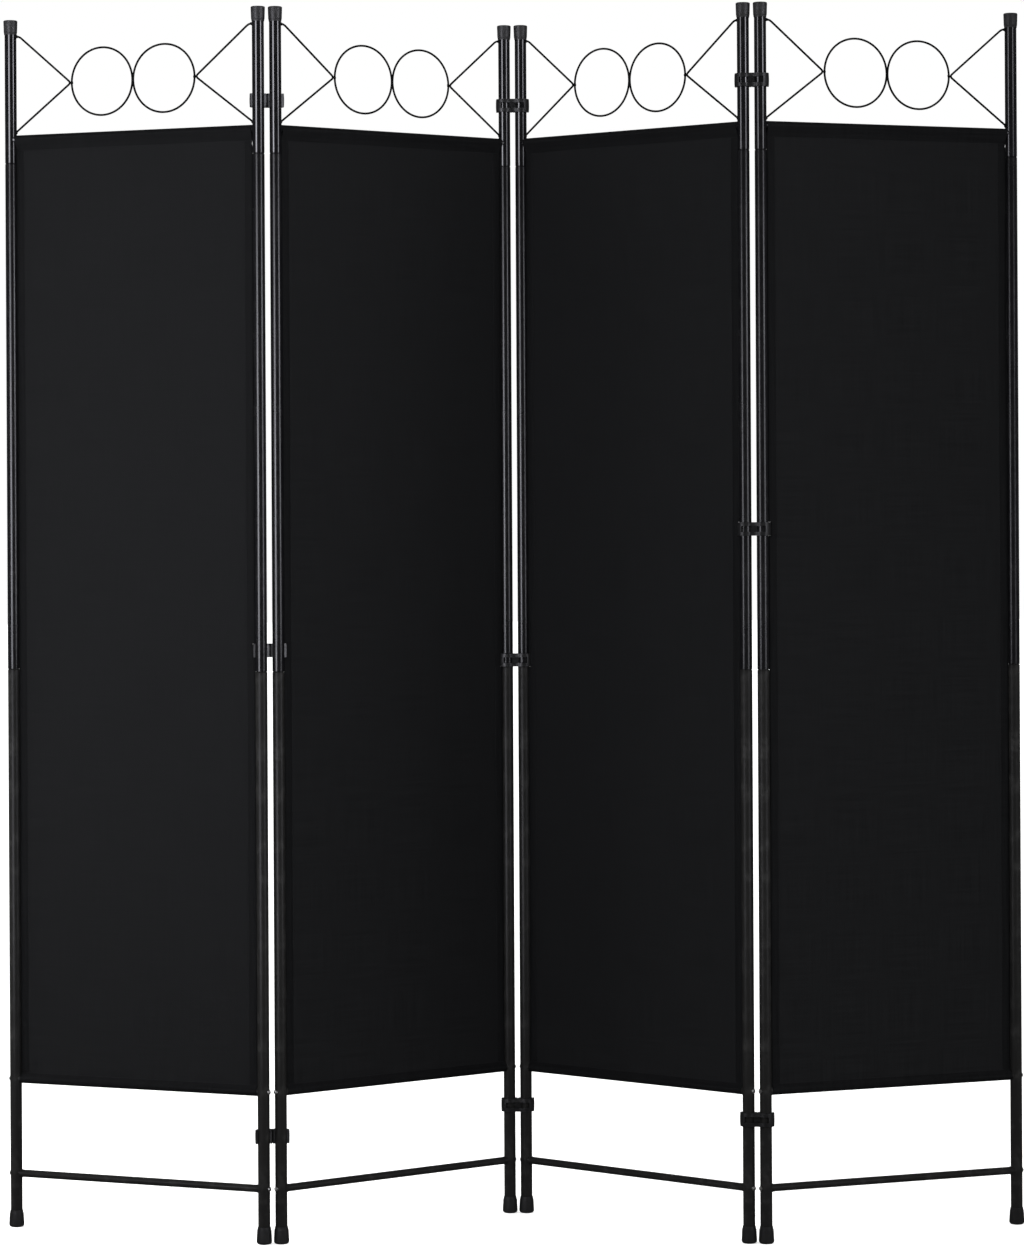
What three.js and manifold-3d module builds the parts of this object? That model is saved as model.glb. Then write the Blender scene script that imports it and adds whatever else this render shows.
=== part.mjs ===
// A four-panel folding room divider screen. Millimetres, +Z up, standing on the floor at z = 0.
// +X runs along the width of the screen and -Y is its front.
//
// Each panel is two round poles joined by a welded top frame, a hem bar and a crossbar, with a
// fabric sheet whose top and bottom pockets slide on the rail and the hem bar. A pole is a bottom
// tube, a middle tube and the stub of the top frame, plugged into one another. Neighbouring panels
// are held together by three double clips, and each pole turns in its loop of the clip.

import * as THREE from 'three';
import { mergeVertices } from 'three/addons/utils/BufferGeometryUtils.js';
import Module from 'manifold-3d';

const wasm = await Module();
wasm.setup();

// ---- Driving dimensions -------------------------------------------------------------------------

const HEIGHT = 1800; // floor to the top of the caps
const POLE_SPACING = 406; // between the two pole axes of a panel
const LINK_SPACING = 25; // between the two pole axes held by one clip
const PANEL_HEADINGS = [-21, 35, -37.5, 20]; // degrees from +X towards +Y, left to right
const GAP = 0.3; // clearance between pieces that touch
const ROUND_SIDES = 12; // facets round a pole, cap or foot
const BAR_SIDES = 10; // facets round a rail or bar
const WIRE_SIDES = 5; // facets round the ornament's wire
const POCKET_SIDES = 7; // facets round a pocket of the fabric

const POLE = {
  radius: 8.75,
  wall: 0.8,
  lowJoint: 831, // height where the bottom tube meets the middle tube
  highJoint: 1585, // height where the middle tube meets the top frame's stub
  spigot: 35, // length of the necked end that plugs into the tube above
  shoulder: 1.2, // height of the slope between the pole and its necked end
};

const BAR = { radius: 5.5, wall: 1 };
const RAIL_HEIGHT = 1621.5;
const HEM_BAR_HEIGHT = 221;
const CROSSBAR_HEIGHT = 80;

const CAP = { height: 22, topRadius: 10.4, lowRadius: 9.9, lipRadius: 9.5, lip: 4, roof: 3, dome: 1.4 };
const FOOT = { height: 25, topRadius: 10.4, lowRadius: 11.2, lipRadius: 9.5, lip: 5, sole: 4, tread: 7.5 };

const ORNAMENT = {
  wire: 1.5, // radius of the wire
  ringRadius: 50, // to the middle of the wire
  ringSides: 20,
  height: 1702.5, // of the ring centres
  topWeld: 1775, // heights where the V wires are welded to the poles
  bottomWeld: 1632,
  kink: 6, // length of the level piece at the upper weld
};

const FABRIC = {
  thickness: 1,
  sideGap: 1, // from the edge to the pole
  topSeam: 23, // from the top edge down to the seam that closes the top pocket
  bottomSeam: 16, // from the bottom edge up to the seam that closes the bottom pocket
};

const CLIP = {
  height: 19.5,
  bore: 9.45,
  outer: 12.3,
  mouth: 130, // degrees left open round the pole
  web: [3, 10.4], // the web between the loops starts and ends this far behind the pole axes
  window: { width: 9, height: 8.5 }, // the opening in the closed side of a loop
  sides: 12,
};

// Each pair of neighbouring poles, left to right: clip heights, and the way the clip mouths face.
const LINKS = [
  { name: '12', heights: { top: 1663, middle: 863, bottom: 156 }, mouth: 'front' },
  { name: '23', heights: { top: 1678, middle: 838, bottom: 164 }, mouth: 'back' },
  { name: '34', heights: { top: 1687, middle: 1036, bottom: 180 }, mouth: 'back' },
];

// Cut into the fabric's edge round a middle clip. It reaches this far from the pole axis.
const NOTCH = { height: CLIP.height + 9, reach: CLIP.outer + 1.7 };

// ---- Materials ----------------------------------------------------------------------------------

const paint = new THREE.MeshStandardMaterial({ color: 0x111113, roughness: 0.25, metalness: 0.3 });
const plastic = new THREE.MeshStandardMaterial({ color: 0x2b2b2c, roughness: 0.55, metalness: 0 });
const cloth = new THREE.MeshStandardMaterial({ color: 0x1c1c1e, roughness: 0.9, metalness: 0 });

// ---- Solid helpers ------------------------------------------------------------------------------

// A closed solid from a three.js geometry, with its shared vertices merged.
function solidOf(geometry) {
  const bare = geometry.clone();
  bare.deleteAttribute('normal');
  bare.deleteAttribute('uv');
  const merged = mergeVertices(bare, 1e-4);
  return new wasm.Manifold(new wasm.Mesh({
    numProp: 3,
    vertProperties: new Float32Array(merged.attributes.position.array),
    triVerts: new Uint32Array(merged.index.array),
  }));
}

function geometryOf(solid) {
  const mesh = solid.getMesh();
  const geometry = new THREE.BufferGeometry();
  geometry.setAttribute('position', new THREE.BufferAttribute(mesh.vertProperties, 3));
  geometry.setIndex(new THREE.BufferAttribute(mesh.triVerts, 1));
  geometry.computeVertexNormals();
  return geometry;
}

function joined(solids) {
  return solids.reduce((sum, next) => sum.add(next));
}

// A turned solid: [radius, height] points, starting and ending on the axis or closing on itself.
function turned(profile, sides) {
  const points = profile.map(([radius, height]) => new THREE.Vector2(radius, height));
  return new THREE.LatheGeometry(points, sides).rotateX(Math.PI / 2);
}

// A straight round rod between two points.
function rod(from, to, radius, sides) {
  const along = new THREE.Vector3().subVectors(to, from);
  const upwards = new THREE.Vector3(0, 1, 0);
  const turn = new THREE.Quaternion().setFromUnitVectors(upwards, along.clone().normalize());
  const middle = new THREE.Vector3().addVectors(from, to).multiplyScalar(0.5);
  return new THREE.CylinderGeometry(radius, radius, along.length(), sides)
    .applyQuaternion(turn)
    .translate(middle.x, middle.y, middle.z);
}

function box(low, high) {
  return new THREE.BoxGeometry(high[0] - low[0], high[1] - low[1], high[2] - low[2])
    .translate((low[0] + high[0]) / 2, (low[1] + high[1]) / 2, (low[2] + high[2]) / 2);
}

// An outline drawn in the panel's section (y, z), swept along x.
function sweptAcross(shape, from, to) {
  const acrossPanel = new THREE.Matrix4().makeBasis(
    new THREE.Vector3(0, 1, 0),
    new THREE.Vector3(0, 0, 1),
    new THREE.Vector3(1, 0, 0),
  );
  const options = { depth: to - from, bevelEnabled: false, curveSegments: POCKET_SIDES };
  return new THREE.ExtrudeGeometry(shape, options)
    .applyMatrix4(acrossPanel)
    .translate(from, 0, 0);
}

function uprightRod(x, radius, low, high, sides) {
  return rod(new THREE.Vector3(x, 0, low), new THREE.Vector3(x, 0, high), radius, sides);
}

// ---- Poles --------------------------------------------------------------------------------------

const poleBore = POLE.radius - POLE.wall;
const spigotRadius = poleBore - GAP;
const poleTop = HEIGHT - CAP.roof - GAP;

// A tube whose upper end is necked down to plug into the tube above.
function neckedTube(bottom, joint) {
  const neck = joint + POLE.shoulder;
  const top = joint + POLE.spigot;
  return turned([
    [poleBore, bottom],
    [POLE.radius, bottom],
    [POLE.radius, joint],
    [spigotRadius, neck],
    [spigotRadius, top],
    [spigotRadius - POLE.wall, top],
    [spigotRadius - POLE.wall, joint],
    [poleBore, joint - POLE.shoulder],
    [poleBore, bottom],
  ], ROUND_SIDES);
}

function bottomTube() {
  return neckedTube(FOOT.sole + GAP, POLE.lowJoint);
}

// The tube above starts level with the top of the shoulder below it.
function middleTube() {
  return neckedTube(POLE.lowJoint + GAP + POLE.shoulder, POLE.highJoint);
}

function cap() {
  const bore = POLE.radius + GAP;
  const bottom = HEIGHT - CAP.height;
  return turned([
    [0, HEIGHT],
    [CAP.topRadius * 0.9, HEIGHT - CAP.dome],
    [CAP.topRadius, HEIGHT - CAP.dome * 2],
    [CAP.lowRadius, bottom + CAP.lip],
    [CAP.lipRadius, bottom],
    [bore, bottom],
    [bore, HEIGHT - CAP.roof],
    [0, HEIGHT - CAP.roof],
  ].reverse(), ROUND_SIDES);
}

function foot() {
  const bore = POLE.radius + GAP;
  return turned([
    [0, 0],
    [FOOT.tread, 0],
    [(FOOT.tread + FOOT.lowRadius) / 2 + 0.8, FOOT.sole * 0.3],
    [FOOT.lowRadius, FOOT.sole * 1.1],
    [FOOT.topRadius, FOOT.height - FOOT.lip],
    [FOOT.lipRadius, FOOT.height],
    [bore, FOOT.height],
    [bore, FOOT.sole],
    [0, FOOT.sole],
  ], ROUND_SIDES);
}

// ---- Top frame ----------------------------------------------------------------------------------

// The wire V at one end: level from the pole, down to the ring's outer side, and back to the pole.
function sideWires(poleX, inward) {
  const { wire, kink, topWeld, bottomWeld, height, ringRadius } = ORNAMENT;
  const poleSide = POLE.radius - POLE.wall / 2;
  const ringSide = POLE_SPACING / 2 - 2 * ringRadius - 1.5 * wire;
  const at = (distance, z) => new THREE.Vector3(poleX + inward * distance, 0, z);
  const apex = at(ringSide, height);
  return [
    rod(at(poleSide, topWeld), at(POLE.radius + kink, topWeld), wire, WIRE_SIDES),
    rod(at(POLE.radius + kink - wire, topWeld + wire / 2), apex, wire, WIRE_SIDES),
    rod(at(poleSide, bottomWeld), apex, wire, WIRE_SIDES),
  ];
}

function rings() {
  const centre = POLE_SPACING / 2;
  return [-1, 1].map((side) => (
    new THREE.TorusGeometry(ORNAMENT.ringRadius, ORNAMENT.wire, WIRE_SIDES, ORNAMENT.ringSides)
      .rotateX(Math.PI / 2)
      .translate(centre + side * (ORNAMENT.ringRadius + ORNAMENT.wire / 2), 0, ORNAMENT.height)
  ));
}

// Two pole stubs, the rail between them and the ring ornament, welded into one piece.
function topFrame() {
  const low = POLE.highJoint + GAP + POLE.shoulder;
  const railEnd = POLE.radius * 0.7;
  const rail = rod(
    new THREE.Vector3(railEnd, 0, RAIL_HEIGHT),
    new THREE.Vector3(POLE_SPACING - railEnd, 0, RAIL_HEIGHT),
    BAR.radius,
    BAR_SIDES,
  );
  const poleXs = [0, POLE_SPACING];
  const stubs = poleXs.map((x) => uprightRod(x, POLE.radius, low, poleTop, ROUND_SIDES));
  const bores = poleXs.map((x) => uprightRod(x, poleBore, low - 1, poleTop + 1, ROUND_SIDES));
  const wires = [...sideWires(0, 1), ...sideWires(POLE_SPACING, -1), ...rings()];
  const welded = joined([rail, ...stubs, ...wires].map(solidOf));
  return geometryOf(welded.subtract(joined(bores.map(solidOf))));
}

// ---- Bars ---------------------------------------------------------------------------------------

// A hollow bar between the poles, its ends shaped to the poles' round sides.
function crossTube(height) {
  const across = (from, to, radius) => solidOf(rod(
    new THREE.Vector3(from, 0, height),
    new THREE.Vector3(to, 0, height),
    radius,
    BAR_SIDES,
  ));
  const cope = (x) => solidOf(
    uprightRod(x, POLE.radius + GAP, height - 2 * BAR.radius, height + 2 * BAR.radius, ROUND_SIDES),
  );
  const tube = across(0, POLE_SPACING, BAR.radius)
    .subtract(across(-1, POLE_SPACING + 1, BAR.radius - BAR.wall));
  return geometryOf(tube.subtract(cope(0)).subtract(cope(POLE_SPACING)));
}

// ---- Fabric -------------------------------------------------------------------------------------

// A loop round a bar in the (y, z) section, running to a point at height seam.
function pocket(radius, barHeight, seam) {
  const towards = Math.sign(seam - barHeight) * Math.PI / 2;
  const spread = Math.acos(radius / Math.abs(seam - barHeight));
  const shape = new THREE.Shape();
  shape.absarc(0, barHeight, radius, towards + spread, towards - spread + 2 * Math.PI, false);
  shape.lineTo(0, seam);
  shape.closePath();
  return shape;
}

// One sheet with a pocket round the rail and one round the hem bar. Each notch leaves room for the
// middle clip at its height on the pole at poleX.
function fabric(notches) {
  const left = POLE.radius + FABRIC.sideGap;
  const right = POLE_SPACING - left;
  const inner = BAR.radius + 2 * GAP;
  const outer = inner + FABRIC.thickness;
  const topSeam = RAIL_HEIGHT + outer - FABRIC.topSeam;
  const bottomSeam = HEM_BAR_HEIGHT - outer + FABRIC.bottomSeam;
  const sweep = (shape) => solidOf(sweptAcross(shape, left, right));
  const wideSweep = (shape) => solidOf(sweptAcross(shape, left - 1, right + 1));
  const half = FABRIC.thickness / 2;
  const loops = [
    sweep(pocket(outer, RAIL_HEIGHT, topSeam - 2)),
    sweep(pocket(outer, HEM_BAR_HEIGHT, bottomSeam + 2)),
  ];
  const hollows = [
    wideSweep(pocket(inner, RAIL_HEIGHT, topSeam)),
    wideSweep(pocket(inner, HEM_BAR_HEIGHT, bottomSeam)),
  ];
  const sheet = solidOf(box([left, -half, bottomSeam + 1], [right, half, topSeam - 1]));
  const cuts = notches.map(({ poleX, height }) => solidOf(box(
    [poleX - NOTCH.reach, -5, height - NOTCH.height / 2],
    [poleX + NOTCH.reach, 5, height + NOTCH.height / 2],
  )));
  return geometryOf(joined([...loops, sheet]).subtract(joined([...hollows, ...cuts])));
}

// ---- Clips --------------------------------------------------------------------------------------

// The wedge left open in front of one pole, so that the loop snaps on.
function mouthWedge(x) {
  const depthOut = 2 * CLIP.outer;
  const spread = depthOut * Math.tan(THREE.MathUtils.degToRad(CLIP.mouth / 2));
  const shape = new THREE.Shape([
    new THREE.Vector2(x, 0),
    new THREE.Vector2(x - spread, -depthOut),
    new THREE.Vector2(x + spread, -depthOut),
  ]);
  const depth = CLIP.height + 2;
  return new THREE.ExtrudeGeometry(shape, { depth, bevelEnabled: false }).translate(0, 0, -depth / 2);
}

// A double clip about its own middle: two loops joined by a web, with the mouths facing -Y.
function clip() {
  const half = LINK_SPACING / 2;
  const top = CLIP.height / 2;
  const { width, height } = CLIP.window;
  const [webBack, webFront] = CLIP.web;
  const sides = [-half, half];
  const loops = sides.map((x) => uprightRod(x, CLIP.outer, -top, top, CLIP.sides));
  const web = box([-half, webBack, -top], [half, webFront, top]);
  const cuts = sides.flatMap((x) => [
    uprightRod(x, CLIP.bore, -top - 1, top + 1, CLIP.sides),
    mouthWedge(x),
    box([x - width / 2, 0, -height / 2], [x + width / 2, 2 * CLIP.outer, height / 2]),
  ]);
  return geometryOf(joined([...loops, web].map(solidOf)).subtract(joined(cuts.map(solidOf))));
}

// ---- Assembly -----------------------------------------------------------------------------------

function named(name, geometry, material) {
  const mesh = new THREE.Mesh(geometry, material);
  mesh.name = name;
  return mesh;
}

const shared = {
  bottomTube: bottomTube(),
  middleTube: middleTube(),
  cap: cap(),
  foot: foot(),
  topFrame: topFrame(),
  hemBar: crossTube(HEM_BAR_HEIGHT),
  crossbar: crossTube(CROSSBAR_HEIGHT),
  clip: clip(),
};

// A panel about its left pole axis, running along +X.
function panel(index) {
  const prefix = `panel_${index + 1}`;
  const group = new THREE.Group();
  const notches = [];
  if (index > 0) {
    notches.push({ poleX: 0, height: LINKS[index - 1].heights.middle });
  }
  if (index < LINKS.length) {
    notches.push({ poleX: POLE_SPACING, height: LINKS[index].heights.middle });
  }
  group.add(named(`${prefix}_top_frame`, shared.topFrame, paint));
  group.add(named(`${prefix}_hem_bar`, shared.hemBar, paint));
  group.add(named(`${prefix}_crossbar`, shared.crossbar, paint));
  group.add(named(`${prefix}_fabric`, fabric(notches), cloth));
  [['left', 0], ['right', POLE_SPACING]].forEach(([side, x]) => {
    const pole = new THREE.Group();
    pole.add(named(`${prefix}_${side}_middle_tube`, shared.middleTube, paint));
    pole.add(named(`${prefix}_${side}_bottom_tube`, shared.bottomTube, paint));
    pole.add(named(`${prefix}_${side}_cap`, shared.cap, plastic));
    pole.add(named(`${prefix}_${side}_foot`, shared.foot, plastic));
    pole.position.x = x;
    group.add(pole);
  });
  return group;
}

// The three clips of one pair of poles, about the middle between the poles.
function linkClips({ name, heights, mouth }) {
  const group = new THREE.Group();
  Object.entries(heights).forEach(([level, height]) => {
    const mesh = named(`clip_${name}_${level}`, shared.clip, plastic);
    mesh.position.z = height;
    mesh.rotation.z = mouth === 'back' ? Math.PI : 0;
    group.add(mesh);
  });
  return group;
}

function headingVector(degrees) {
  const angle = THREE.MathUtils.degToRad(degrees);
  return new THREE.Vector3(Math.cos(angle), Math.sin(angle), 0);
}

// Panels and clips follow one another from the left end. A clip bisects its two panels' headings.
function screen() {
  const group = new THREE.Group();
  const at = new THREE.Vector3();
  PANEL_HEADINGS.forEach((heading, index) => {
    const leaf = panel(index);
    leaf.position.copy(at);
    leaf.rotation.z = THREE.MathUtils.degToRad(heading);
    group.add(leaf);
    at.addScaledVector(headingVector(heading), POLE_SPACING);
    if (index < LINKS.length) {
      const linkHeading = (heading + PANEL_HEADINGS[index + 1]) / 2;
      const step = headingVector(linkHeading);
      const clips = linkClips(LINKS[index]);
      clips.position.copy(at).addScaledVector(step, LINK_SPACING / 2);
      clips.rotation.z = THREE.MathUtils.degToRad(linkHeading);
      group.add(clips);
      at.addScaledVector(step, LINK_SPACING);
    }
  });
  return group;
}

// The origin is under the middle of the whole screen.
function centred(group) {
  const bounds = new THREE.Box3().setFromObject(group, true);
  const middle = bounds.getCenter(new THREE.Vector3());
  group.position.set(-middle.x, -middle.y, 0);
  return group;
}

export default centred(screen());
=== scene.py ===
"""The looks of a four-panel folding room divider screen, in metres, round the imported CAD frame."""
import itertools
import math
import random

import bmesh
import bpy
from mathutils import Matrix, Vector, noise


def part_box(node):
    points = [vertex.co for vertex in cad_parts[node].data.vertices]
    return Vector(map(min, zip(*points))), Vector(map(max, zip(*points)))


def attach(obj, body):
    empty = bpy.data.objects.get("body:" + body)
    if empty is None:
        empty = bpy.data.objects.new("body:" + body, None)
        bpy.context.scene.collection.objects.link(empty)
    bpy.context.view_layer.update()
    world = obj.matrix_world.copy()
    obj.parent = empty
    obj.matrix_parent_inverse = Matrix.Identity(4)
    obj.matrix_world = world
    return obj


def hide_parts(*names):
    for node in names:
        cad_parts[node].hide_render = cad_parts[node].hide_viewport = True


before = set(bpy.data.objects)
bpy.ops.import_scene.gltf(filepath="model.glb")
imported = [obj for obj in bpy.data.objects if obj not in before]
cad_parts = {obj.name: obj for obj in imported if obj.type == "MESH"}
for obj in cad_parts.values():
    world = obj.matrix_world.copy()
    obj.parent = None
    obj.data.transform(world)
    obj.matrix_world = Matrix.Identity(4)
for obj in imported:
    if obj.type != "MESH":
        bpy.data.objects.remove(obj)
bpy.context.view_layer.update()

# ---- Sizes ---------------------------------------------------------------------------------------

MM = 0.001
ROUND_SIDES = 56  # round a pole, cap or foot
PANELS = (1, 2, 3, 4)
LINKS = {"12": (1, 2), "23": (2, 3), "34": (3, 4)}  # the panels that each set of clips joins
OPEN_TO_FRONT = {"12": True, "23": False, "34": False}  # the way each set's mouths face
LEVELS = ("top", "middle", "bottom")

POLE_RADIUS = 8.75 * MM
POLE_WALL = 0.8 * MM
SPIGOT_RADIUS = 7.65 * MM  # the necked end that plugs into the tube above
SPIGOT_LENGTH = 35 * MM
SHOULDER = 1.2 * MM  # height of the slope between a pole and its necked end
JOINT_GAP = 0.3 * MM  # between a shoulder and the tube above it
PUSH_FIT = 0.1 * MM  # between a pole and the cap or foot pushed over it

BAR_RADIUS = 5.5 * MM
BAR_FLARE = 0.7 * MM  # a bar's ends are this much fuller where they meet the poles
BAR_FLARE_LENGTH = 6 * MM
WIRE_RADIUS = 1.5 * MM
RING_RADIUS = 50 * MM
ORNAMENT_Z = 1702.5 * MM  # the middles of the rings
UPPER_WELD_Z = 1775 * MM
LOWER_WELD_Z = 1632 * MM
WELD_KINK = 6 * MM  # length of a V wire's level piece at its upper weld
WIRE_BEND = 5 * MM
UPPER_WELD = (2.6 * MM, 2.3 * MM, 2.4 * MM)  # half lengths of the weld beads
LOWER_WELD = (1.8 * MM, 2.1 * MM, 2.3 * MM)
APEX_WELD = (2.0 * MM, 1.9 * MM, 3.2 * MM)
RING_WELD = (1.8 * MM, 1.9 * MM, 3.6 * MM)

CLOTH_THICKNESS = 0.45 * MM
LAYER_OFFSET = CLOTH_THICKNESS * 1.1  # from the face to a layer folded behind it
POCKET_RADIUS = 6.2 * MM
POCKET_CLEARANCE = 7.1 * MM  # from a bar's middle to the cloth's edge beyond it
TOP_SEAM = 23 * MM  # below the top edge
BOTTOM_SEAM = 16 * MM  # above the bottom edge
SIDE_HEM = 13 * MM
SIDE_GAP = 0.5 * MM  # between the cloth's edge and the pole
CLIP_REACH = 13.3 * MM  # the cloth is tucked back this far from the pole's axis at a clip
NOTCH_CLEARANCE = 0.05 * MM  # above and below the clip
NOTCH_CORNER = 0.3 * MM  # height of the slope at a tuck's upper and lower end
LOOSE_GAP = 1.3 * MM  # the outer panels' upper right corners stand this much off the pole
LOOSE_DROP = 4.5 * MM  # and most of all this far under the top seam
LOOSE_REACH = 4.5 * MM  # fading over this height

CLIP_OUTER = 12.3 * MM  # radius of a loop
CLIP_BORE = 9.05 * MM  # radius
CLIP_BULGE = 0.4 * MM  # a loop is this much fuller at half height
CLIP_WEB = (3 * MM, 10.4 * MM)  # from the pole axes to its near and far face, behind the mouths
CLIP_RECESS = 5.6 * MM  # depth of the hollow in the web's far face
CLIP_RIM = 5.5 * MM  # height of the rims above and below the hollow
CLIP_MOUTH = math.radians(130)  # how wide each loop is open
CLIP_WINDOW = 10.5 * MM  # width of the window in a loop's back
CLIP_EDGE = 0.35 * MM  # rounding of the edges

SCREW_RADIUS = 3.6 * MM
SCREW_HEIGHT = 2.5 * MM
SCREW_SUNK = 0.6 * MM  # the head's seat is this deep in the pole's round side
SCREW_SKIRT = 1 * MM  # the head goes on this far past its seat


def middle_of(node):
    low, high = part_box(node)
    return (low + high) / 2


def pole_axis(panel, side):
    """The foot of a pole's axis on the floor."""
    middle = middle_of(f"panel_{panel}_{side}_foot")
    return Vector((middle.x, middle.y, 0))


def upright(left, right):
    """A frame with its origin at left, +X towards right and +Z up."""
    along = right - left
    turn = Matrix.Rotation(math.atan2(along.y, along.x), 4, "Z")
    return Matrix.Translation(left) @ turn


SPACING = (pole_axis(1, "right") - pole_axis(1, "left")).length
LOW_JOINT_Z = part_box("panel_1_left_middle_tube")[0].z
HIGH_JOINT_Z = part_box("panel_1_top_frame")[0].z
STUB_TOP_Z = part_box("panel_1_top_frame")[1].z
TUBE_LOW_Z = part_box("panel_1_left_bottom_tube")[0].z
CAP_LOW_Z, CAP_TOP_Z = (corner.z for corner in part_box("panel_1_left_cap"))
FOOT_TOP_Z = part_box("panel_1_left_foot")[1].z
CROSSBAR_Z = middle_of("panel_1_crossbar").z
HEM_BAR_Z = middle_of("panel_1_hem_bar").z
RAIL_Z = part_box("panel_1_fabric")[1].z - POCKET_CLEARANCE
CLIP_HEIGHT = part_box("clip_12_top")[1].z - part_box("clip_12_top")[0].z
TOP_SEAM_Z = RAIL_Z + POCKET_CLEARANCE - TOP_SEAM
BOTTOM_SEAM_Z = HEM_BAR_Z - POCKET_CLEARANCE + BOTTOM_SEAM


# ---- Material nodes ------------------------------------------------------------------------------


class Nodes:
    """A new material, its shader, and short ways to add and join nodes."""

    def __init__(self, name):
        self.material = bpy.data.materials.new(name)
        self.material.use_nodes = True
        self.tree = self.material.node_tree
        self.shader = self.tree.nodes["Principled BSDF"]
        self.place = self.add("ShaderNodeTexCoord").outputs["Object"]

    def add(self, kind, **values):
        node = self.tree.nodes.new(kind)
        for key, value in values.items():
            setattr(node, key, value)
        return node

    def link(self, source, target):
        self.tree.links.new(source, target)

    def shade(self, socket, source):
        """Feeds one of the shader's sockets."""
        self.link(source, self.shader.inputs[socket])

    def set(self, **values):
        for key, value in values.items():
            self.shader.inputs[key.replace("_", " ")].default_value = value

    def noise(self, scale, detail=3, roughness=0.5, stretch=(1, 1, 1)):
        """Fractal noise over the object, stretched along its axes."""
        mapping = self.add("ShaderNodeMapping")
        mapping.inputs["Scale"].default_value = stretch
        self.link(self.place, mapping.inputs["Vector"])
        texture = self.add("ShaderNodeTexNoise")
        texture.inputs["Scale"].default_value = scale
        texture.inputs["Detail"].default_value = detail
        texture.inputs["Roughness"].default_value = roughness
        self.link(mapping.outputs["Vector"], texture.inputs["Vector"])
        return texture.outputs["Fac"]

    def remap(self, source, low, high, start=0.3, end=0.7):
        """A value between low and high as source goes from start to end."""
        node = self.add("ShaderNodeMapRange")
        node.inputs["From Min"].default_value = start
        node.inputs["From Max"].default_value = end
        node.inputs["To Min"].default_value = low
        node.inputs["To Max"].default_value = high
        self.link(source, node.inputs["Value"])
        return node.outputs["Result"]

    def math(self, operation, a, b=None):
        node = self.add("ShaderNodeMath", operation=operation)
        for socket, value in zip(node.inputs, (a, b)):
            if isinstance(value, (int, float)):
                socket.default_value = value
            elif value is not None:
                self.link(value, socket)
        return node.outputs["Value"]

    def blend(self, factor, dark, light):
        """A colour between dark and light."""
        node = self.add("ShaderNodeMix", data_type="RGBA")
        ends = {"A": dark, "B": light}
        for socket in node.inputs:
            if socket.type == "RGBA":
                socket.default_value = (*ends[socket.name], 1)
        self.link(factor, node.inputs["Factor"])
        return next(socket for socket in node.outputs if socket.type == "RGBA")

    def bump(self, height, distance, strength=1.0, under=None):
        node = self.add("ShaderNodeBump")
        node.inputs["Distance"].default_value = distance
        node.inputs["Strength"].default_value = strength
        self.link(height, node.inputs["Height"])
        if under is not None:
            self.link(under, node.inputs["Normal"])
        return node.outputs["Normal"]


def paint(name, clean, dusty, rough, gloss):
    """Black enamel: slightly uneven gloss, faint orange peel, long runs and a little dust."""
    peel_depth = 0.004 * MM
    run_depth = 0.05 * MM
    drawn_down = (1, 1, 0.12)
    nodes = Nodes(name)
    dust = nodes.remap(nodes.noise(scale=55, detail=6, roughness=0.65), 0, 1, 0.5, 0.8)
    nodes.shade("Base Color", nodes.blend(dust, clean, dusty))
    nodes.shade("Roughness", nodes.remap(nodes.noise(scale=30, detail=5), *rough))
    peel = nodes.bump(nodes.noise(scale=260, detail=2), peel_depth, 0.4)
    runs = nodes.bump(nodes.noise(scale=16, detail=2, stretch=drawn_down), run_depth, 0.25, peel)
    nodes.shade("Normal", runs)
    nodes.set(Specular_IOR_Level=gloss)
    return nodes.material


def plastic(name, dark, light, rough, grain):
    """Moulded plastic with a fine grain and slightly mottled gloss."""
    nodes = Nodes(name)
    mottle = nodes.noise(scale=140, detail=5, roughness=0.6)
    nodes.shade("Base Color", nodes.blend(nodes.remap(mottle, 0, 1), dark, light))
    nodes.shade("Roughness", nodes.remap(nodes.noise(scale=60, detail=4), *rough))
    nodes.shade("Normal", nodes.bump(nodes.noise(scale=1900, detail=2), grain, 0.6))
    return nodes.material


def hem_shade_mask(nodes, x, z):
    """1 where the cloth is folded double, in the side hems and the two pockets, and 0 on the face:
    the mask of the painted shade that stands for the backlight a single layer lets through and two
    layers stop.
    """
    from_edge = nodes.math("MINIMUM", x, nodes.math("SUBTRACT", SPACING, x))
    sides = nodes.math("LESS_THAN", from_edge, POLE_RADIUS + SIDE_GAP + SIDE_HEM)
    top = nodes.math("GREATER_THAN", z, TOP_SEAM_Z)
    bottom = nodes.math("LESS_THAN", z, BOTTOM_SEAM_Z)
    return nodes.math("MAXIMUM", sides, nodes.math("MAXIMUM", top, bottom))


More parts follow.
